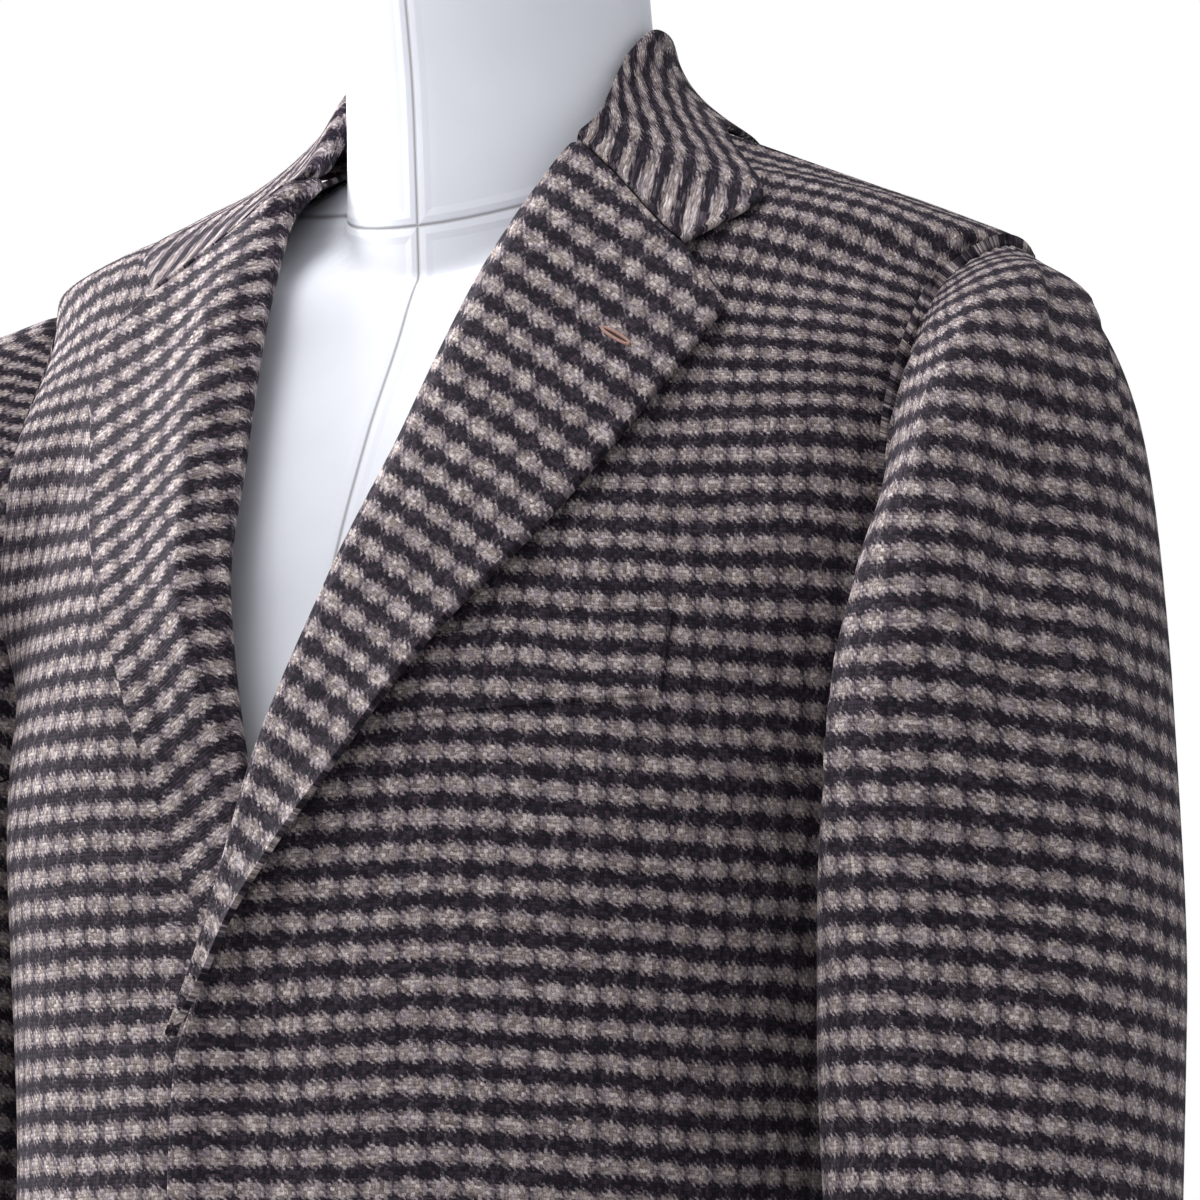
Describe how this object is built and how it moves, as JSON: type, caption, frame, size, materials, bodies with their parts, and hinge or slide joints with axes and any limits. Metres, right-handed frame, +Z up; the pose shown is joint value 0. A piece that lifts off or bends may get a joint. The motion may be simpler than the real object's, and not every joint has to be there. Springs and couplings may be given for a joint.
{
  "type": "overcoat on a dress form",
  "caption": "Single-breasted overcoat with notched lapels in heavy houndstooth wool, worn by a limbless canvas dress form that stands on a round weighted foot.",
  "frame": {"origin": "centre of the foot's underside, on the floor", "axes": "+Z up, -Y the way the coat faces, +X its wearer's left"},
  "size_m": [0.632, 0.4, 1.6423],
  "materials": {
    "wool": "heavy woollen coating in a small four-and-four houndstooth, brown-black and warm taupe, with a soft nap",
    "canvas": "off-white cotton canvas, glued smooth over a moulded body, with machine-sewn seams",
    "horn": "dark brown horn, polished in the well and matt on the rim",
    "steel": "bright steel tube with fine lengthwise brushing",
    "iron": "black satin paint on cast iron"
  },
  "bodies": {
    "root": {"front_left": "wool", "front_right": "wool", "back_left": "wool", "back_right": "wool", "lapel_left": "wool", "lapel_right": "wool", "collar": "wool", "top_sleeve_left": "wool", "under_sleeve_left": "wool", "top_sleeve_right": "wool", "under_sleeve_right": "wool", "chest_welt": "wool", "button_1": "horn", "button_2": "horn", "button_3": "horn", "form_torso": "canvas", "form_neck_cap": "iron", "form_pole": "steel", "form_base": "iron"}
  },
  "joints": []
}
